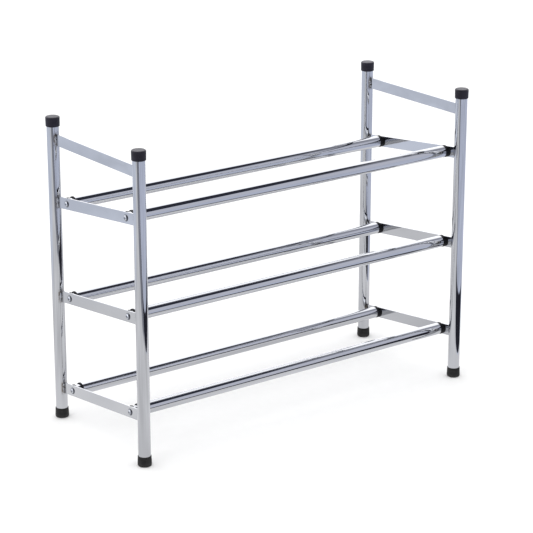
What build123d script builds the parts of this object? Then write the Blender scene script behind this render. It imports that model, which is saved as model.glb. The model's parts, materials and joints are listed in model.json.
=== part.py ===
"""Telescopic three-tier shoe rack in chromed steel tube.

Two welded end frames stand on rubber feet. Six telescopic rails, a front and a back one on
each tier, join them. The outer tubes belong to the right frame and slide over inner tubes
that belong to the left frame, so the rack pulls out sideways.

Millimetres. +X runs to the right along the rails, -Y is the front and +Z is up. The origin
lies on the floor, midway between the four feet with the rack pushed together.
"""

from build123d import *
from math import atan2, cos, degrees
import os

# Driving dimensions
HEIGHT = 485.0  # floor to the top of a post cap
SPAN_X = 607.0  # left post axis to right post axis, pushed together
SPAN_Y = 235.0  # front post axis to back post axis
TRAVEL = 520.0  # how far the right frame pulls out
TUBE_D = 19.0  # posts and outer rail tubes
INNER_TUBE_D = 16.0  # inner rail tubes
TUBE_WALL = 0.6

BAR_HEIGHT = 18.0  # flat strips of the end frames
BAR_THICKNESS = 2.0
BAR_EDGE_R = 0.4
TOP_BAR_Z = 450.5  # middle of the level top bar
FIRST_TIER_Z = 64.0  # middle of the lowest tier bar
TIER_PITCH = 151.0
TIER_COUNT = 3
TIER_RISE = 27.5  # front end of a tier bar above its back end
RAIL_INSET = 35.5  # post axis to the axis of the rail beside it

CAP_D = 22.0
CAP_HEIGHT = 15.2
CAP_ROOF = 2.5
FOOT_D = 21.4
FOOT_NECK_D = 20.4
FOOT_HEIGHT = 16.0
FOOT_FLOOR = 4.0

SCREW_HEAD_D = 9.5
SCREW_HEAD_HEIGHT = 2.6
SCREW_D = 4.0
SCREW_LENGTH = 14.0

RING_FLANGE = 2.5  # guide ring's lip on the mouth of an outer tube
RING_FLANGE_D = 20.0
RING_SLEEVE = 30.0  # guide ring's length inside the tube
LEFT_FLANGE = 2.5  # rail plug against a left bar
RIGHT_FLANGE = 5.0  # rail plug against a right bar
PLUG_STEM = 18.0
CLOSED_GAPS = {1: 8.0, 2: 3.0, 3: 5.0}  # inner tube left showing on each tier, closed
GLIDE_COLLAR = 8.0  # bush on the hidden end of an inner tube
STOP_GAP = 2.0  # left between glide and guide ring when pulled out

# Clearances
PUSH_FIT = 0.05  # radial, between pieces pushed together
RUNNING_FIT = 0.05  # radial, between the telescopic tubes and their bushes
SCREW_HOLE_PLAY = 0.2  # radial, where a screw passes through a strip

# Derived sizes
POST_X = SPAN_X / 2
POST_Y = SPAN_Y / 2
TUBE_R = TUBE_D / 2
TUBE_BORE_R = TUBE_R - TUBE_WALL
INNER_R = INNER_TUBE_D / 2
INNER_BORE_R = INNER_R - TUBE_WALL
RAIL_Y = POST_Y - RAIL_INSET
TIER_ANGLE = degrees(atan2(TIER_RISE, SPAN_Y))
BAR_FACE_X = POST_X - BAR_THICKNESS / 2  # inner face of a right bar
INNER_TUBE_START = -BAR_FACE_X + LEFT_FLANGE
OUTER_TUBE_END = BAR_FACE_X - RIGHT_FLANGE

SIDES = {"left": -1, "right": 1}
DEPTHS = {"front": -1, "back": 1}
TIERS = range(1, TIER_COUNT + 1)

UP = (0, 0, 1)
RIGHT = (1, 0, 0)
LEFT = (-1, 0, 0)


def tier_middle(tier):
    """Height of a tier bar halfway between its posts."""
    return FIRST_TIER_Z + (tier - 1) * TIER_PITCH


def rail_axis_z(tier, depth):
    """Height of a rail's axis, on the centre line of its sloping bar."""
    return tier_middle(tier) - depth * RAIL_Y * TIER_RISE / SPAN_Y


def outer_tube_start(tier):
    """Left end of a tier's outer tubes, where the lip of the guide ring meets them."""
    return INNER_TUBE_START + CLOSED_GAPS[tier] + RING_FLANGE


def inner_tube_end(tier):
    """Hidden end of a tier's inner tubes, set so that the glide stops at full travel."""
    return outer_tube_start(tier) + RING_SLEEVE + TRAVEL + STOP_GAP


def save(part, name):
    """Name a finished piece and write it to its own file."""
    part.label = name
    export_step(part, f"parts/{name}.step")


def turned(start, direction, outline):
    """A turned piece: outline gives (distance along the axis, radius) from start."""
    across = (0, 1, 0)
    with BuildPart() as piece:
        with BuildSketch(Plane(origin=start, x_dir=direction, z_dir=across)):
            Polygon(*outline)
        revolve(axis=Axis(start, direction))
    return piece.part


def tube(start, direction, length, radius, bore):
    """A plain round tube."""
    with BuildPart() as piece:
        with BuildSketch(Plane(origin=start, z_dir=direction)):
            Circle(radius)
            Circle(bore, mode=Mode.SUBTRACT)
        extrude(amount=length)
    return piece.part


def post(x, y):
    """Upright tube from the floor of its foot to the roof of its cap."""
    length = HEIGHT - CAP_ROOF - FOOT_FLOOR
    return tube((x, y, FOOT_FLOOR), UP, length, TUBE_R, TUBE_BORE_R)


def cap(x, y):
    """Push-on post cap, slightly tapered, with a rounded rim round its flat top."""
    taper, rim_r, lip_r = 0.3, 2.2, 0.9
    radius, bore = CAP_D / 2, TUBE_R + PUSH_FIT
    outline = [
        (0, bore),
        (0, radius - taper),
        (CAP_HEIGHT, radius),
        (CAP_HEIGHT, 0),
        (CAP_HEIGHT - CAP_ROOF, 0),
        (CAP_HEIGHT - CAP_ROOF, bore),
    ]
    with BuildPart() as piece:
        add(turned((x, y, HEIGHT - CAP_HEIGHT), UP, outline))
        fillet(piece.edges().group_by(Axis.Z)[-1].sort_by(SortBy.RADIUS)[-1], rim_r)
        fillet(piece.edges().group_by(Axis.Z)[0].sort_by(SortBy.RADIUS)[-1], lip_r)
    return piece.part


def foot(x, y):
    """Rubber ferrule that widens towards the floor and is rounded underneath."""
    radius, neck, bore = FOOT_D / 2, FOOT_NECK_D / 2, TUBE_R + PUSH_FIT
    shoulder = 5.0
    recess_r, recess_depth = 5.0, 1.0
    heel_r = 2.6
    outline = [
        (0, recess_r),
        (0, radius),
        (shoulder, radius),
        (FOOT_HEIGHT, neck),
        (FOOT_HEIGHT, bore),
        (FOOT_FLOOR, bore),
        (FOOT_FLOOR, 0),
        (recess_depth, 0),
        (recess_depth, recess_r),
    ]
    with BuildPart() as piece:
        add(turned((x, y, 0), UP, outline))
        fillet(piece.edges().group_by(Axis.Z)[0].sort_by(SortBy.RADIUS)[-1], heel_r)
    return piece.part


def bar(x, middle_z, rise, holes):
    """Flat strip between a front and a back post, its ends coped to the tubes it meets."""
    half_height = BAR_HEIGHT / 2 / cos(atan2(rise, SPAN_Y))
    front_z = middle_z + rise / 2
    back_z = middle_z - rise / 2
    with BuildPart() as piece:
        with BuildSketch(Plane.YZ.offset(x)):
            Polygon(
                (-POST_Y, front_z - half_height),
                (POST_Y, back_z - half_height),
                (POST_Y, back_z + half_height),
                (-POST_Y, front_z + half_height),
            )
            if holes:
                with Locations(*holes):
                    Circle(SCREW_D / 2 + SCREW_HOLE_PLAY, mode=Mode.SUBTRACT)
        extrude(amount=BAR_THICKNESS / 2, both=True)
        fillet(piece.edges().filter_by(lambda edge: edge.length >= SPAN_Y), BAR_EDGE_R)
        with BuildSketch(Plane.XY):
            with Locations((x, -POST_Y), (x, POST_Y)):
                Circle(TUBE_R)
        extrude(amount=HEIGHT, mode=Mode.SUBTRACT)
    return piece.part


def top_bar(x):
    """Level strip that ties the tops of two posts together."""
    return bar(x, TOP_BAR_Z, 0, [])


def tier_bar(x, tier):
    """Sloping strip that carries a tier's two rails, with a screw hole for each."""
    holes = [(depth * RAIL_Y, rail_axis_z(tier, depth)) for depth in DEPTHS.values()]
    return bar(x, tier_middle(tier), TIER_RISE, holes)


def inner_tube(tier, y, z):
    """Thin rail tube, fixed to the left frame, that the outer tube slides over."""
    length = inner_tube_end(tier) - INNER_TUBE_START
    return tube((INNER_TUBE_START, y, z), RIGHT, length, INNER_R, INNER_BORE_R)


def outer_tube(tier, y, z):
    """Rail tube, fixed to the right frame."""
    start = outer_tube_start(tier)
    return tube((start, y, z), RIGHT, OUTER_TUBE_END - start, TUBE_R, TUBE_BORE_R)


def guide_ring(tier, y, z):
    """Bush in an outer tube's open mouth, with a lip outside, that the inner tube runs in."""
    edge = 0.6
    lip_r = RING_FLANGE_D / 2
    bore = INNER_R + RUNNING_FIT
    sleeve_r = TUBE_BORE_R - PUSH_FIT
    outline = [
        (0, bore),
        (0, lip_r - edge),
        (edge, lip_r),
        (RING_FLANGE, lip_r),
        (RING_FLANGE, sleeve_r),
        (RING_FLANGE + RING_SLEEVE, sleeve_r),
        (RING_FLANGE + RING_SLEEVE, bore),
    ]
    return turned((outer_tube_start(tier) - RING_FLANGE, y, z), RIGHT, outline)


def glide(tier, y, z):
    """Bush on the hidden end of an inner tube: it runs in the outer tube and stops it."""
    collar_r = TUBE_BORE_R - RUNNING_FIT
    stem_r = INNER_BORE_R - PUSH_FIT
    outline = [
        (-PLUG_STEM, 0),
        (-PLUG_STEM, stem_r),
        (0, stem_r),
        (0, collar_r),
        (GLIDE_COLLAR, collar_r),
        (GLIDE_COLLAR, 0),
    ]
    return turned((inner_tube_end(tier), y, z), RIGHT, outline)


def rail_plug(bar_face_x, direction, y, z, flange, flange_r, rim_r, bore):
    """Plug in a rail's end, bored for its screw. Its flange narrows from bar to tube."""
    pilot_r = SCREW_D / 2 + PUSH_FIT
    stem_r = bore - PUSH_FIT
    outline = [
        (0, pilot_r),
        (0, flange_r),
        (flange, rim_r),
        (flange, stem_r),
        (flange + PLUG_STEM, stem_r),
        (flange + PLUG_STEM, pilot_r),
    ]
    return turned((bar_face_x, y, z), direction, outline)


def left_plug(y, z):
    """Black plug between a left bar and its inner tube."""
    flange_r, rim_r = INNER_R + 1.7, INNER_R + 1.3
    return rail_plug(-BAR_FACE_X, RIGHT, y, z, LEFT_FLANGE, flange_r, rim_r, INNER_BORE_R)


def right_plug(y, z):
    """Black collar plug between a right bar and its outer tube."""
    flange_r, rim_r = TUBE_R + 0.4, TUBE_R + 0.1
    return rail_plug(BAR_FACE_X, LEFT, y, z, RIGHT_FLANGE, flange_r, rim_r, TUBE_BORE_R)


def screw():
    """Domed cross-recess screw. Its head sits on the XY plane and its shank points down."""
    head_r, shank_r = SCREW_HEAD_D / 2, SCREW_D / 2
    rim = 0.8
    point = 2.0
    crown = (0.68 * head_r, 0.76 * SCREW_HEAD_HEIGHT)
    slot_length, slot_width, slot_depth = 5.0, 1.1, 1.5
    above = 1.0  # the cut for the recess starts this far over the crown
    with BuildPart() as piece:
        with BuildSketch(Plane.XZ):
            with BuildLine():
                Polyline(
                    (0, SCREW_HEAD_HEIGHT),
                    (0, -SCREW_LENGTH),
                    (shank_r, point - SCREW_LENGTH),
                    (shank_r, 0),
                    (head_r, 0),
                    (head_r, rim),
                )
                ThreePointArc((head_r, rim), crown, (0, SCREW_HEAD_HEIGHT))
            make_face()
        revolve(axis=Axis.Z)
        with BuildSketch(Plane.XY.offset(SCREW_HEAD_HEIGHT + above)):
            Rectangle(slot_length, slot_width)
            Rectangle(slot_width, slot_length)
        extrude(amount=-above - slot_depth, mode=Mode.SUBTRACT)
    return piece.part


def frame_screws(side):
    """The six screws that hold one end frame to its rails."""
    outward = (side, 0, 0)
    face_x = side * (POST_X + BAR_THICKNESS / 2)
    seats = [
        Plane(origin=(face_x, depth * RAIL_Y, rail_axis_z(tier, depth)), z_dir=outward)
        for tier in TIERS
        for depth in DEPTHS.values()
    ]
    with BuildPart() as group:
        with Locations(*seats):
            add(screw())
    return group.part


os.makedirs("parts", exist_ok=True)

# End frames: posts with their caps and feet, and the strips between them
for side_name, side in SIDES.items():
    x = side * POST_X
    for depth_name, depth in DEPTHS.items():
        y = depth * POST_Y
        save(post(x, y), f"post_{side_name}_{depth_name}")
        save(cap(x, y), f"post_cap_{side_name}_{depth_name}")
        save(foot(x, y), f"foot_{side_name}_{depth_name}")
    save(top_bar(x), f"top_bar_{side_name}")
    for tier in TIERS:
        save(tier_bar(x, tier), f"tier_{tier}_bar_{side_name}")
    save(frame_screws(side), f"rail_screws_{side_name}")

# Telescopic rails, from the left bar to the right bar
for tier in TIERS:
    for depth_name, depth in DEPTHS.items():
        y, z = depth * RAIL_Y, rail_axis_z(tier, depth)
        rail = f"tier_{tier}_{depth_name}"
        save(left_plug(y, z), f"{rail}_inner_plug")
        save(inner_tube(tier, y, z), f"{rail}_inner_tube")
        save(glide(tier, y, z), f"{rail}_inner_glide")
        save(guide_ring(tier, y, z), f"{rail}_guide_ring")
        save(outer_tube(tier, y, z), f"{rail}_outer_tube")
        save(right_plug(y, z), f"{rail}_outer_plug")
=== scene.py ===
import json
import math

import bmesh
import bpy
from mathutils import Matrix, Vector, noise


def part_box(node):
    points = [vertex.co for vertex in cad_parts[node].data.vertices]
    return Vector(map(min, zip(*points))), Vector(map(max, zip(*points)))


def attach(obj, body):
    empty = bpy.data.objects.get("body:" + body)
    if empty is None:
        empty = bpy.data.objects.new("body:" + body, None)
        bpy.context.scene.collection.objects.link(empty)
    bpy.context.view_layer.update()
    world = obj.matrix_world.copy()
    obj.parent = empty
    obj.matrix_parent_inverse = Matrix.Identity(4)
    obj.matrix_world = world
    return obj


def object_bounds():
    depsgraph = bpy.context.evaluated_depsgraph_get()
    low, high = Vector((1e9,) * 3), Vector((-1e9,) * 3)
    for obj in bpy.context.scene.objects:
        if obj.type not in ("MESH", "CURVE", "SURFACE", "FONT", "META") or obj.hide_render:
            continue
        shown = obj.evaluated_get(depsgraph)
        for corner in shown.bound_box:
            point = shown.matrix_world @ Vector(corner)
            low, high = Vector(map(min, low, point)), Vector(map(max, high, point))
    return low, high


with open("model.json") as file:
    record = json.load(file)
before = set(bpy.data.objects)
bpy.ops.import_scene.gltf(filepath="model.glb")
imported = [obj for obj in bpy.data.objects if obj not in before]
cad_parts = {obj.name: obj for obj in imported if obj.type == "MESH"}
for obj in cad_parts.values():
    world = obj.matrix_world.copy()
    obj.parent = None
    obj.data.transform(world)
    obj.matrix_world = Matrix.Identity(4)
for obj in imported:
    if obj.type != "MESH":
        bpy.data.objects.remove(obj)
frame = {"nodes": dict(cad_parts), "record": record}

# Looks for the telescopic shoe rack: chrome, black plastic and rubber materials for the CAD
# nodes, weld beads on the two end frames, a pale floor, surroundings that only the chrome
# reflects, and soft studio light.
# Metres, in the frame's own axes: +X along the rails, -Y the front, +Z up.

cad_low, cad_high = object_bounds()

FRAME_OF_SIDE = {"left": "left_frame", "right": "right_frame"}
TIERS = 3

# Sizes read from the frame
post_low, post_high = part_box("post_right_front")
POST_R = (post_high.x - post_low.x) / 2
POST_X = (post_low.x + post_high.x) / 2
POST_Y = abs(post_low.y + post_high.y) / 2
POST_TOP = cad_high.z
FOOT_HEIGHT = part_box("foot_right_front")[1].z
bar_low, bar_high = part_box("top_bar_right")
BAR_THICKNESS = bar_high.x - bar_low.x
BAR_HEIGHT = bar_high.z - bar_low.z
TOP_BAR_Z = (bar_low.z + bar_high.z) / 2
tier_low, tier_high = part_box("tier_1_bar_right")
TIER_1_Z = (tier_low.z + tier_high.z) / 2
TIER_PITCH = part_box("tier_2_bar_right")[0].z - tier_low.z
TIER_SLOPE = (tier_high.z - tier_low.z - BAR_HEIGHT) / (2 * POST_Y - 2 * POST_R)
rail_low, rail_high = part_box("tier_1_back_outer_tube")
RAIL_Y = (rail_low.y + rail_high.y) / 2
SCREW_HEAD_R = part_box("rail_screws_right")[1].y - RAIL_Y


# ---------------------------------------------------------------- camera

CAMERA_AZIMUTH = math.radians(-36.5)  # left of straight ahead
CAMERA_ELEVATION = math.radians(18.6)
CAMERA_DISTANCE = 3.307
CAMERA_AIM = Vector((0.008, 0.0, 0.217))
CAMERA_LENS = 141.6  # mm


def make_camera():
    """Long lens at the product view: from the front left, a little above the rack."""
    back = Vector((
        math.sin(CAMERA_AZIMUTH) * math.cos(CAMERA_ELEVATION),
        -math.cos(CAMERA_AZIMUTH) * math.cos(CAMERA_ELEVATION),
        math.sin(CAMERA_ELEVATION),
    ))
    data = bpy.data.cameras.new("camera")
    data.lens = CAMERA_LENS
    data.clip_start, data.clip_end = 0.05, 60.0
    camera = bpy.data.objects.new("camera", data)
    camera.location = CAMERA_AIM + back * CAMERA_DISTANCE
    camera.rotation_mode = "QUATERNION"
    camera.rotation_quaternion = (-back).to_track_quat("-Z", "Y")
    bpy.context.scene.collection.objects.link(camera)
    bpy.context.scene.camera = camera


# ---------------------------------------------------------------- node helpers

class Graph:
    """Short calls for building a node tree."""

    def __init__(self, tree):
        self.tree = tree
        self.tree.nodes.clear()

    def node(self, kind, inputs=None, **settings):
        """A new node with its settings made and its inputs fed."""
        made = self.tree.nodes.new(kind)
        for key, value in settings.items():
            setattr(made, key, value)
        for key, value in (inputs or {}).items():
            self.feed(made.inputs[key], value)
        return made

    def feed(self, socket, value):
        """Link an output to the socket, or set a plain value on it."""
        if isinstance(value, bpy.types.NodeSocket):
            self.tree.links.new(value, socket)
        else:
            socket.default_value = value

    def math(self, operation, a, b=0.0, c=0.0):
        """The result of one math node."""
        return self.node("ShaderNodeMath", {0: a, 1: b, 2: c}, operation=operation).outputs[0]

    def ramp(self, value, low, high, out_low=0.0, out_high=1.0, smooth=True):
        """Value mapped from low..high to out_low..out_high, held at both ends."""
        made = self.node(
            "ShaderNodeMapRange",
            {"Value": value, "From Min": low, "From Max": high,
             "To Min": out_low, "To Max": out_high},
            interpolation_type="SMOOTHSTEP" if smooth else "LINEAR",
        )
        return made.outputs["Result"]

    def mix(self, share, a, b):
        """Colour a where share is 0 and b where it is 1."""
        made = self.node("ShaderNodeMix", data_type="RGBA")
        self.feed(made.inputs["Factor"], share)
        self.feed(made.inputs["A"], a)
        self.feed(made.inputs["B"], b)
        return made.outputs["Result"]

    def place(self):
        """Coordinates that stay with the part as it moves."""
        return self.node("ShaderNodeTexCoord").outputs["Object"]

    def scaled(self, vector, scale):
        """Coordinates stretched by a scale for each axis."""
        made = self.node("ShaderNodeMapping", {"Vector": vector, "Scale": scale})
        return made.outputs["Vector"]

    def grain(self, vector, scale, detail=2.0, roughness=0.5):
        """Noise between 0 and 1."""
        made = self.node(
            "ShaderNodeTexNoise",
            {"Vector": vector, "Scale": scale, "Detail": detail, "Roughness": roughness},
        )
        return made.outputs["Fac"]

    def patches(self, vector, scale, detail, roughness, clear, full):
        """Soft patches: 0 where the noise is under clear and 1 where it is over full."""
        return self.ramp(self.grain(vector, scale, detail, roughness), clear, full)

    def raised(self, base, share, amount):
        """The base, plus the amount where share is 1."""
        return self.math("MULTIPLY_ADD", share, amount, base)

    def bump(self, height, distance, strength, normal=None):
        """Surface normal from a height, laid over another normal where one is given."""
        inputs = {"Height": height, "Distance": distance, "Strength": strength}
        if normal is not None:
            inputs["Normal"] = normal
        return self.node("ShaderNodeBump", inputs).outputs["Normal"]


def new_material(name):
    """An empty material and the graph that builds it."""
    material = bpy.data.materials.new(name)
    material.use_nodes = True
    return material, Graph(material.node_tree)


def principled(g, inputs):
    """A principled shader with these inputs, as the material's surface."""
    shader = g.node("ShaderNodeBsdfPrincipled", inputs)
    g.node("ShaderNodeOutputMaterial", {"Surface": shader.outputs["BSDF"]})


def grey(value, tint=0.0):
    """Linear grey that leans to blue by the tint."""
    return (value, value * (1 + tint * 0.3), value * (1 + tint), 1.0)


# ---------------------------------------------------------------- materials

# Colours
CHROME_BRIGHT = grey(0.50, 0.05)
CHROME_WORN = grey(0.465, 0.065)
PIT_GREY = grey(0.16)
WELD_GREY = grey(0.40, 0.10)
ZINC_BRIGHT = grey(0.54, 0.10)
ZINC_CLOUDED = grey(0.38, 0.12)
HEAT_TINT = (0.120, 0.095, 0.070, 1.0)
WELD_SOOT = (0.075, 0.060, 0.045, 1.0)
# painted shade round the screw heads, and soot at the strips' welded ends
SHADE_AND_SOOT = (0.065, 0.070, 0.086, 1.0)
# painted shade at a screw head's rim
SCREW_RIM_SHADE = (0.100, 0.108, 0.128, 1.0)
CAP_BLACK = (0.0085, 0.0075, 0.0135, 1.0)
RAIL_BLACK = (0.0040, 0.0040, 0.0055, 1.0)
RUBBER_BLACK = grey(0.006, 0.06)
# dust on the plastics, and painted light on the caps' tops
PLASTIC_DUST_AND_LIGHT = (0.120, 0.115, 0.135, 1.0)
FLOOR_DUST = (0.080, 0.076, 0.070, 1.0)

# Chrome's finish: roughness of the clean plate and what each mark adds, bump depths, and pits
CLEAN_ROUGHNESS = 0.012
FILM_HAZE = 0.030
SMEAR_HAZE = 0.020
STREAK_HAZE = 0.022
STAIN_HAZE = 0.22
WAVE_DEPTH = 0.00035
STREAK_DEPTH = 0.000003
PIT_DEPTH = 0.00002
PIT_SCALE = 420.0  # cells per metre, each with one pit
PIT_SIZE = (0.10, 0.03)  # a pit's rim and floor, in cells from its middle

# Polishing lines, which run round the tubes and along the strips: noise scales by axis
ACROSS = 1800.0
ALONG = 25.0
UPRIGHT_LINES = (ALONG, ALONG, ACROSS)
RAIL_LINES = (ACROSS, ALONG, ALONG)

# Stretch of the flow marks on a moulding
FLOW_SCALE = (40.0, 40.0, 160.0)

# Marks near the welds and on the screws and caps, with painted shade round the screws and painted
# light on the caps' tops
STAIN_REACH = BAR_HEIGHT * 0.75  # heat tint above and below a strip's middle
SOOT_FROM, SOOT_TO = 0.0055, 0.0010  # from the weld, where soot starts and is full
HEAT_STRENGTH = 0.85
SOOT_STRENGTH = 0.55
# how dark the painted shade round the screw heads and the strips' soot are
SHADE_AND_SOOT_STRENGTH = 0.9
# how dark the painted shade at a screw head's rim is
RIM_SHADE_STRENGTH = 0.85
TURNING_PITCH = 0.0004  # fine turning marks on a screw head
TOP_DUST_AND_LIGHT_FROM, TOP_DUST_AND_LIGHT_TO = 0.0014, 0.0002  # under a cap's top, where the dust and painted light from above start and are full


def chrome(name, lines, waviness=1.0, stain_and_shade=None, stain_and_shade_colour=None):
    """Bright chrome plate. lines scales the noise into polishing lines, and stain_and_shade gives
    the mask of a darker colour, such as heat tint, soot and the painted shade round the screw
    heads.
    """
    material, g = new_material(name)
    at = g.place()
    # a film of dust, smears left by hands, polishing lines, and pits in the plate
    film = g.patches(at, scale=38.0, detail=4.0, roughness=0.6, clear=0.48, full=0.72)
    smear = g.patches(at, scale=9.0, detail=2.0, roughness=0.5, clear=0.45, full=0.70)
    streaks = g.grain(g.scaled(at, lines), scale=1.0, detail=3.0, roughness=0.6)
    pits = g.node("ShaderNodeTexVoronoi", {"Vector": at, "Scale": PIT_SCALE})
    pit = g.ramp(pits.outputs["Distance"], *PIT_SIZE)
    roughness = g.raised(CLEAN_ROUGHNESS, film, FILM_HAZE)
    roughness = g.raised(roughness, smear, SMEAR_HAZE)
    roughness = g.raised(roughness, streaks, STREAK_HAZE)
    shade = g.raised(g.math("MULTIPLY", streaks, 0.5), smear, 0.5)
    colour = g.mix(shade, CHROME_BRIGHT, CHROME_WORN)
    colour = g.mix(g.math("MULTIPLY", pit, 0.35), colour, PIT_GREY)
    if stain_and_shade:
        # heat tint and soot, and on the strips also painted shade round the screw heads
        tint = stain_and_shade(g, at)
        colour = g.mix(tint, colour, stain_and_shade_colour)
        roughness = g.raised(roughness, tint, STAIN_HAZE)
    wave = g.grain(at, scale=30.0, detail=1.0)
    wavy = g.bump(wave, distance=WAVE_DEPTH * waviness, strength=0.5)
    polished = g.bump(streaks, distance=STREAK_DEPTH, strength=0.5, normal=wavy)
    pitted = g.bump(pit, distance=-PIT_DEPTH, strength=0.5, normal=polished)
    principled(g, {
        "Base Color": colour,
        "Metallic": 1.0,
        "Roughness": roughness,
        "Normal": pitted,
    })
    return material


def weld_stains(g, at):
    """Heat tint on a post, on the side of its welds and level with its strips' ends."""
    split = g.node("ShaderNodeSeparateXYZ", {"Vector": at})
    y, z = split.outputs["Y"], split.outputs["Z"]
    full = STAIN_REACH * 0.35
    # height over the nearest tier strip's end, and over the top bar
    sloped = g.math("MULTIPLY_ADD", y, TIER_SLOPE, g.math("SUBTRACT", z, TIER_1_Z))
    nearest = g.math("WRAP", sloped, TIER_PITCH / 2, -TIER_PITCH / 2)
    tiers = g.ramp(g.math("ABSOLUTE", nearest), STAIN_REACH, full)
    top = g.ramp(g.math("ABSOLUTE", g.math("SUBTRACT", z, TOP_BAR_Z)), STAIN_REACH, full)
    tiers_end = TOP_BAR_Z - TIER_PITCH / 4
    below_top = g.ramp(z, tiers_end, tiers_end - 0.001)
    level = g.math("MAXIMUM", g.math("MULTIPLY", tiers, below_top), top)
    inside = g.ramp(g.math("ABSOLUTE", y), POST_Y - POST_R * 0.80, POST_Y - POST_R * 0.94)
    blotch = g.patches(at, scale=160.0, detail=4.0, roughness=0.7, clear=0.30, full=0.52)
    mask = g.math("MULTIPLY", g.math("MULTIPLY", level, inside), blotch)
    return g.math("MULTIPLY", mask, HEAT_STRENGTH)


def weld_chrome():
    """Plated weld bead: rippled, duller than the tube and brown in patches."""
    material, g = new_material("weld_chrome")
    at = g.place()
    ripple = g.grain(at, scale=520.0, detail=3.0, roughness=0.6)
    soot = g.patches(at, scale=210.0, detail=3.0, roughness=0.7, clear=0.40, full=0.66)
    principled(g, {
        "Base Color": g.mix(soot, WELD_GREY, WELD_SOOT),
        "Metallic": 1.0,
        "Roughness": g.raised(0.12, soot, 0.25),
        "Normal": g.bump(ripple, distance=0.0004, strength=0.6),
    })
    return material


def screw_distance(g, at):
    """Distance from the axis of the nearest screw, in the plane of the strips."""
    split = g.node("ShaderNodeSeparateXYZ", {"Vector": at})
    y, z = split.outputs["Y"], split.outputs["Z"]
    across = g.math("SUBTRACT", g.math("ABSOLUTE", y), RAIL_Y)
    side = g.math("SIGN", y)
    over_tier = g.math("SUBTRACT", g.math("MULTIPLY_ADD", side, RAIL_Y * TIER_SLOPE, z), TIER_1_Z)
    up = g.math("WRAP", over_tier, TIER_PITCH / 2, -TIER_PITCH / 2)
    square = g.math("ADD", g.math("POWER", across, 2.0), g.math("POWER", up, 2.0))
    return g.math("SQRT", square)


def screw_plate():
    """Bright zinc on a pressed screw head: clouded, finely turned, and darker at its rim with
    painted shade.
    """
    material, g = new_material("screw_plate")
    at = g.place()
    speck = g.grain(at, scale=900.0, detail=3.0, roughness=0.7)
    cloud = g.patches(at, scale=220.0, detail=3.0, roughness=0.6, clear=0.40, full=0.68)
    out = screw_distance(g, at)
    # painted shade at the head's rim, where it meets the strip
    rim_shade = g.ramp(out, SCREW_HEAD_R * 0.60, SCREW_HEAD_R * 0.92)
    turned = g.math("SINE", g.math("MULTIPLY", out, 2 * math.pi / TURNING_PITCH))
    plate = g.mix(cloud, ZINC_BRIGHT, ZINC_CLOUDED)
    specked = g.bump(speck, distance=0.00006, strength=0.4)
    principled(g, {
        "Base Color": g.mix(g.math("MULTIPLY", rim_shade, RIM_SHADE_STRENGTH), plate, SCREW_RIM_SHADE),
        "Metallic": 1.0,
        "Roughness": g.raised(0.16, speck, 0.14),
        "Normal": g.bump(turned, distance=0.000006, strength=0.5, normal=specked),
    })
    return material


def strip_shade_and_soot(g, at):
    """Dark ring of painted shade on a strip round each screw head, and soot at its welded ends.
    """
    out = screw_distance(g, at)
    # painted shade on the strip just outside each screw head
    ring = g.ramp(out, SCREW_HEAD_R * 1.25, SCREW_HEAD_R * 1.02)
    depth = g.math("ABSOLUTE", g.node("ShaderNodeSeparateXYZ", {"Vector": at}).outputs["Y"])
    weld = POST_Y - POST_R
    soot = g.ramp(depth, weld - SOOT_FROM, weld - SOOT_TO, 0.0, SOOT_STRENGTH)
    speck = g.grain(at, scale=420.0, detail=3.0, roughness=0.6)
    blotch = g.ramp(speck, 0.30, 0.60, out_low=0.35)
    mask = g.math("MULTIPLY", g.math("MAXIMUM", ring, soot), blotch)
    return g.math("MULTIPLY", mask, SHADE_AND_SOOT_STRENGTH)


def moulded(name, black, roughness, grain_scale, grain_depth, marked, top=None):
    """Black moulding: fine spark-eroded grain, flow marks and dust, with more dust and painted
    light from above on a face at the height top.
    """
    material, g = new_material(name)
    at = g.place()
    texture = g.grain(at, grain_scale, detail=3.0, roughness=0.65)
    flowing = g.scaled(at, FLOW_SCALE)
    flow = g.patches(flowing, scale=1.0, detail=3.0, roughness=0.6, clear=0.35, full=0.75)
    specks = g.patches(at, scale=1300.0, detail=2.0, roughness=0.6, clear=0.60, full=0.74)
    scuff = g.patches(at, scale=170.0, detail=5.0, roughness=0.7, clear=0.56, full=0.74)
    marks = g.math("MULTIPLY", g.math("MAXIMUM", specks, scuff), marked)
    if top is not None:
        height = g.node("ShaderNodeSeparateXYZ", {"Vector": at}).outputs["Z"]
        # top face lighter: dust and painted light from above
        upper = g.ramp(height, top - TOP_DUST_AND_LIGHT_FROM, top - TOP_DUST_AND_LIGHT_TO)
        marks = g.raised(marks, upper, g.raised(0.30, flow, 0.25))
    lighter = tuple(1.6 * channel for channel in black[:3]) + (1.0,)
    colour = g.mix(marks, g.mix(flow, black, lighter), PLASTIC_DUST_AND_LIGHT)
    principled(g, {
        "Base Color": colour,
        "Roughness": g.raised(roughness, texture, 0.16),
        "Specular IOR Level": 0.20,
        "Normal": g.bump(texture, distance=grain_depth, strength=0.6),
    })
    return material


def foot_rubber():
    """Matte rubber, greyer with dust towards the floor."""
    material, g = new_material("foot_rubber")
    at = g.place()
    height = g.node("ShaderNodeSeparateXYZ", {"Vector": at}).outputs["Z"]
    texture = g.grain(at, scale=1500.0, detail=4.0, roughness=0.7)
    bloom = g.patches(at, scale=120.0, detail=4.0, roughness=0.65, clear=0.42, full=0.74)
    low = g.ramp(height, FOOT_HEIGHT * 0.55, 0.0)
    dust = g.raised(g.math("MULTIPLY", bloom, 0.16), low, 0.18)
    principled(g, {
        "Base Color": g.mix(dust, RUBBER_BLACK, FLOOR_DUST),
        "Roughness": g.raised(0.50, texture, 0.20),
        "Specular IOR Level": 0.25,
        "Normal": g.bump(texture, distance=0.00012, strength=0.7),
    })
    return material


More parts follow.
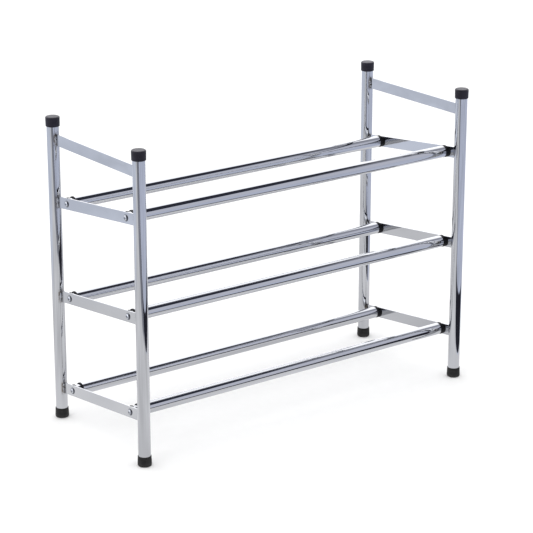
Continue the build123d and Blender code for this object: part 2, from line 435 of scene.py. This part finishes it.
def dress_frame():
    """Give every CAD node the material of its slot in the record."""
    by_slot = {
        "chrome_post": chrome(
            "chrome_post", UPRIGHT_LINES, stain_and_shade=weld_stains, stain_and_shade_colour=HEAT_TINT
        ),
        "chrome_rail": chrome("chrome_rail", RAIL_LINES),
        # strips: painted shade round the screw heads, and soot at the welded ends
        "chrome_strip": chrome(
            "chrome_strip", UPRIGHT_LINES, waviness=1.6, stain_and_shade=strip_shade_and_soot, stain_and_shade_colour=SHADE_AND_SOOT
        ),
        "screw_steel": screw_plate(),
        "cap_plastic": moulded(
            "cap_plastic", CAP_BLACK, roughness=0.36, grain_scale=1500.0,
            grain_depth=0.00006, marked=0.10, top=POST_TOP,
        ),
        "rail_plastic": moulded(
            "rail_plastic", RAIL_BLACK, roughness=0.38, grain_scale=1700.0,
            grain_depth=0.00005, marked=0.05,
        ),
        "foot_rubber": foot_rubber(),
    }
    for part in frame["record"]["subparts"]:
        mesh = frame["nodes"][part["node"]].data
        mesh.materials.clear()
        mesh.materials.append(by_slot[part["material_slot"]])


# ---------------------------------------------------------------- weld beads

BEAD_R = 0.0021
BEAD_RINGS = 26
BEAD_SIDES = 14
BEAD_RIPPLES = 7
BEAD_LUMPS = 420  # lumps per metre
BEAD_OFFSET = BEAD_R * 0.15  # from the strip's face, and from the post, to the bead's axis
BEAD_HALF = BAR_HEIGHT / 2 * 0.92


def add_bead(mesh, start, end, seed):
    """A lumpy closed bead of weld between two points, thin at both ends."""
    axis = (end - start).normalized()
    across = axis.orthogonal().normalized()
    other = axis.cross(across)
    rings = []
    for i in range(1, BEAD_RINGS):
        share = i / BEAD_RINGS
        taper = math.sin(math.pi * share) ** 0.35
        ripple = 1 + 0.10 * math.sin(share * 2 * BEAD_RIPPLES * math.pi + seed)
        middle = start.lerp(end, share)
        ring = []
        for k in range(BEAD_SIDES):
            turn = 2 * math.pi * k / BEAD_SIDES
            out = across * math.cos(turn) + other * math.sin(turn)
            lump = noise.noise((middle + out * BEAD_R) * BEAD_LUMPS + Vector((seed, 0, 0)))
            radius = BEAD_R * taper * ripple * (1 + 0.35 * lump)
            ring.append(mesh.verts.new(middle + out * radius))
        rings.append(ring)
    for lower, upper in zip(rings, rings[1:]):
        for k in range(BEAD_SIDES):
            n = (k + 1) % BEAD_SIDES
            mesh.faces.new((lower[k], lower[n], upper[n], upper[k]))
    for tip, ring in ((mesh.verts.new(start), rings[0]), (mesh.verts.new(end), rings[-1])):
        for k in range(BEAD_SIDES):
            n = (k + 1) % BEAD_SIDES
            face = (tip, ring[n], ring[k]) if ring is rings[0] else (tip, ring[k], ring[n])
            mesh.faces.new(face)


def weld_beads(side, material):
    """The beads of one end frame: one each side of each strip, at both its ends."""
    post_x = -POST_X if side == "left" else POST_X
    strips = [(TOP_BAR_Z, 0.0)]
    for tier in range(TIERS):
        strips.append((TIER_1_Z + tier * TIER_PITCH, TIER_SLOPE))
    mesh = bmesh.new()
    seed = 0.0
    for middle_z, slope in strips:
        for end in (-1, 1):
            for face in (-1, 1):
                seed += 1.7
                x = post_x + face * (BAR_THICKNESS / 2 + BEAD_OFFSET)
                y = end * (POST_Y - POST_R - BEAD_OFFSET)
                z = middle_z - y * slope
                bottom = Vector((x, y, z - BEAD_HALF))
                top = Vector((x, y, z + BEAD_HALF))
                add_bead(mesh, bottom, top, seed)
    data = bpy.data.meshes.new(f"weld_beads_{side}")
    bmesh.ops.recalc_face_normals(mesh, faces=mesh.faces)
    mesh.to_mesh(data)
    mesh.free()
    data.shade_smooth()
    data.materials.append(material)
    piece = bpy.data.objects.new(f"weld_beads_{side}", data)
    bpy.context.scene.collection.objects.link(piece)
    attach(piece, FRAME_OF_SIDE[side])


# ---------------------------------------------------------------- studio

FLOOR_R = 14.0
FLOOR_GREYS = (grey(0.92), grey(0.95))

# White sheet that the chrome reflects, and the bluish floor beyond its front edge
EDGE_NORMAL = (0.6, -0.8)  # level direction from the rack's middle to the edge
EDGE_RUN = (0.8, 0.6)  # along the edge, to the right
EDGE_DISTANCE = 0.394
EDGE_SOFT = 0.012
BACK_LEFT = (-0.59, 0.81)
COOL_FROM, COOL_TO = 0.70, 1.20  # where the sheet turns from near to far, to the back left
DIM_FROM, DIM_TO = 0.62, 0.72  # where it dims, in front of the rack's middle
CLOUDING = (0.88, 1.14)  # range of its uneven brightness
SHEET_NEAR = (0.97, 0.97, 0.99, 1.0)
SHEET_FAR = (0.90, 0.955, 1.09, 1.0)
SHEET_DIM = (0.33, 0.34, 0.39, 1.0)
BEYOND_COLOUR = (0.76, 0.81, 0.98, 1.0)
REFLECTED_Z = 0.0002

# Low dark board on that edge
BOARD_HEIGHTS = (0.040, 0.125)
BOARD_RISE = (-0.8, 0.4)  # the stretch of the edge over which its height changes
BOARD_END = 0.34  # short of the rails when the rack is pulled out
BOARD_FADE = 0.08
BOARD_SOFT = 0.004  # half width of its soft upper edge
BOARD_COLOUR = (0.03, 0.03, 0.042, 1.0)

# Dark flag overhead
FLAG_Z = 1.5
FLAG_R = 6.0
FLAG_FADE_X = (0.92, 1.20)  # where it thins out to the right
FLAG_THIN = 0.45  # and how much of it is left there
FLAG_BACK_Y = (0.34, 0.08)  # its soft back edge, from clear to dark
FLAG_FRONT_Y = (-2.08, -1.92)  # its soft front edge at x = 0, from clear to dark
FLAG_SKEW = 0.77  # slope of the front edge
FLAG_COLOUR = (0.040, 0.044, 0.064, 1.0)

# Light
ROOM_LIGHT = (1.20, 1.20, 1.20, 1.0)  # what lights the floor and the plastics
CHROME_FRONT = (0.84, 0.86, 0.98, 1.0)  # what the chrome sees in front
CHROME_BEHIND = (2.0, 2.0, 2.05, 1.0)  # and behind and overhead
BEHIND_FROM, BEHIND_TO = 86.0, 106.0  # degrees up from the front horizon


def flat_disc(name, radius, height, material):
    """A disc of the studio, level with the floor."""
    mesh = bmesh.new()
    bmesh.ops.create_circle(mesh, cap_ends=True, segments=96, radius=radius)
    data = bpy.data.meshes.new(name)
    mesh.to_mesh(data)
    mesh.free()
    data.materials.append(material)
    disc = bpy.data.objects.new(name, data)
    disc.location.z = height
    bpy.context.scene.collection.objects.link(disc)
    return disc


def make_floor():
    """Pale studio floor, far larger than the view. The chrome doesn't reflect this one."""
    material, g = new_material("studio_floor")
    fleck = g.grain(g.place(), scale=60.0, detail=3.0)
    principled(g, {
        "Base Color": g.mix(fleck, *FLOOR_GREYS),
        "Roughness": 0.85,
        "Specular IOR Level": 0.1,
    })
    floor = flat_disc("studio_floor", FLOOR_R, 0.0, material)
    floor.visible_glossy = False


def along(g, x, y, direction):
    """Distance from the rack's middle along a level direction."""
    return g.math("MULTIPLY_ADD", x, direction[0], g.math("MULTIPLY", y, direction[1]))


def show_only_in_reflections(piece):
    """Hide a studio piece from the camera and from everything that isn't glossy."""
    piece.visible_camera = False
    piece.visible_diffuse = False
    piece.visible_shadow = False


def cut_out(material, g, colour, cover):
    """Even glow of the colour where cover is 1, and nothing where it is 0."""
    glow = g.node("ShaderNodeEmission", {"Color": colour, "Strength": 1.0})
    clear = g.node("ShaderNodeBsdfTransparent")
    mixed = g.node("ShaderNodeMixShader", {0: cover, 1: clear.outputs[0], 2: glow.outputs[0]})
    g.node("ShaderNodeOutputMaterial", {"Surface": mixed.outputs[0]})
    material.cycles.emission_sampling = "NONE"


def make_reflected_floor():
    """What the chrome sees of the studio's floor. Only reflections show it.

    The rack stands on a white sheet. Its front edge lies askew to the rack, and past it
    comes a bluish floor. The sheet is dim at the front left.
    """
    material, g = new_material("reflected_floor")
    at = g.place()
    split = g.node("ShaderNodeSeparateXYZ", {"Vector": at})
    x, y = split.outputs["X"], split.outputs["Y"]
    cool = g.ramp(along(g, x, y, BACK_LEFT), COOL_FROM, COOL_TO)
    sheet = g.mix(cool, SHEET_NEAR, SHEET_FAR)
    dim = g.ramp(y, -DIM_FROM, -DIM_TO)
    sheet = g.mix(dim, sheet, SHEET_DIM)
    past = g.math("SUBTRACT", along(g, x, y, EDGE_NORMAL), EDGE_DISTANCE)
    colour = g.mix(g.ramp(past, -EDGE_SOFT, 0.0), sheet, BEYOND_COLOUR)
    cloud = g.ramp(g.grain(at, scale=2.6), 0.32, 0.68, *CLOUDING)
    glow = g.node("ShaderNodeEmission", {"Color": colour, "Strength": cloud})
    g.node("ShaderNodeOutputMaterial", {"Surface": glow.outputs[0]})
    material.cycles.emission_sampling = "NONE"
    disc = flat_disc("reflected_floor", FLOOR_R, REFLECTED_Z, material)
    show_only_in_reflections(disc)


def make_edge_board():
    """Low dark board that stands on the front edge of the sheet, higher to the right. Only
    reflections show it: it draws the dark wedge in the posts and the lower line on the rails.
    """
    material, g = new_material("edge_board")
    split = g.node("ShaderNodeSeparateXYZ", {"Vector": g.place()})
    run = along(g, split.outputs["X"], split.outputs["Y"], EDGE_RUN)
    height = g.ramp(run, *BOARD_RISE, *BOARD_HEIGHTS, smooth=False)
    low = g.ramp(g.math("SUBTRACT", split.outputs["Z"], height), BOARD_SOFT, -BOARD_SOFT)
    short = g.ramp(run, BOARD_END, BOARD_END - BOARD_FADE)
    cut_out(material, g, BOARD_COLOUR, g.math("MULTIPLY", low, short))
    middle = Vector(EDGE_NORMAL).to_3d() * EDGE_DISTANCE
    reach = Vector(EDGE_RUN).to_3d() * FLOOR_R
    top = Vector((0.0, 0.0, max(BOARD_HEIGHTS) * 1.2))
    corners = (middle - reach, middle + reach, middle + reach + top, middle - reach + top)
    data = bpy.data.meshes.new("edge_board")
    data.from_pydata(corners, [], [(0, 1, 2, 3)])
    data.materials.append(material)
    board = bpy.data.objects.new("edge_board", data)
    bpy.context.scene.collection.objects.link(board)
    show_only_in_reflections(board)


def make_overhead_flag():
    """Dark flag over the rack that draws the dark line along each rail. Only reflections
    show it. It thins to the right, its back edge is soft, and its front edge is askew.
    """
    material, g = new_material("overhead_flag")
    split = g.node("ShaderNodeSeparateXYZ", {"Vector": g.place()})
    x, y = split.outputs["X"], split.outputs["Y"]
    right = g.ramp(x, *FLAG_FADE_X, 1.0, FLAG_THIN)
    back = g.ramp(y, *FLAG_BACK_Y)
    front = g.ramp(g.math("MULTIPLY_ADD", x, -FLAG_SKEW, y), *FLAG_FRONT_Y)
    cover = g.math("MULTIPLY", right, g.math("MULTIPLY", back, front))
    cut_out(material, g, FLAG_COLOUR, cover)
    flag = flat_disc("overhead_flag", FLAG_R, FLAG_Z, material)
    show_only_in_reflections(flag)


def make_world():
    """Even white light. The chrome sees it brighter behind and overhead than in front."""
    world = bpy.data.worlds.new("studio")
    world.use_nodes = True
    bpy.context.scene.world = world
    g = Graph(world.node_tree)
    split = g.node(
        "ShaderNodeSeparateXYZ", {"Vector": g.node("ShaderNodeTexCoord").outputs["Generated"]}
    )
    front = g.math("MULTIPLY", split.outputs["Y"], -1.0)
    # how far a ray points up from the front horizon, seen along the rails
    rise = g.math("ARCTAN2", split.outputs["Z"], front)
    angle = g.math("MULTIPLY", rise, math.degrees(1))
    behind = g.ramp(angle, BEHIND_FROM, BEHIND_TO)
    seen_by_chrome = g.mix(behind, CHROME_FRONT, CHROME_BEHIND)
    glossy = g.node("ShaderNodeLightPath").outputs["Is Glossy Ray"]
    colour = g.mix(glossy, ROOM_LIGHT, seen_by_chrome)
    background = g.node("ShaderNodeBackground", {"Color": colour, "Strength": 1.0})
    g.node("ShaderNodeOutputWorld", {"Surface": background.outputs[0]})


def softbox(name, location, size, power):
    """Large soft light that faces the rack."""
    data = bpy.data.lights.new(name, "AREA")
    data.shape = "RECTANGLE"
    data.size, data.size_y = size
    data.energy = power
    light = bpy.data.objects.new(name, data)
    light.location = location
    aim = Vector((0, 0, POST_TOP / 2)) - Vector(location)
    light.rotation_mode = "QUATERNION"
    light.rotation_quaternion = aim.to_track_quat("-Z", "Y")
    bpy.context.scene.collection.objects.link(light)


make_camera()
dress_frame()
bead_material = weld_chrome()
for side in FRAME_OF_SIDE:
    weld_beads(side, bead_material)
make_floor()
make_reflected_floor()
make_edge_board()
make_overhead_flag()
make_world()
softbox("softbox_back", location=(-1.2, 3.2, 3.0), size=(3.0, 1.6), power=14.0)
softbox("softbox_left", location=(-3.6, -1.0, 2.6), size=(1.6, 1.6), power=12.0)
bpy.context.scene.view_settings.view_transform = "Standard"
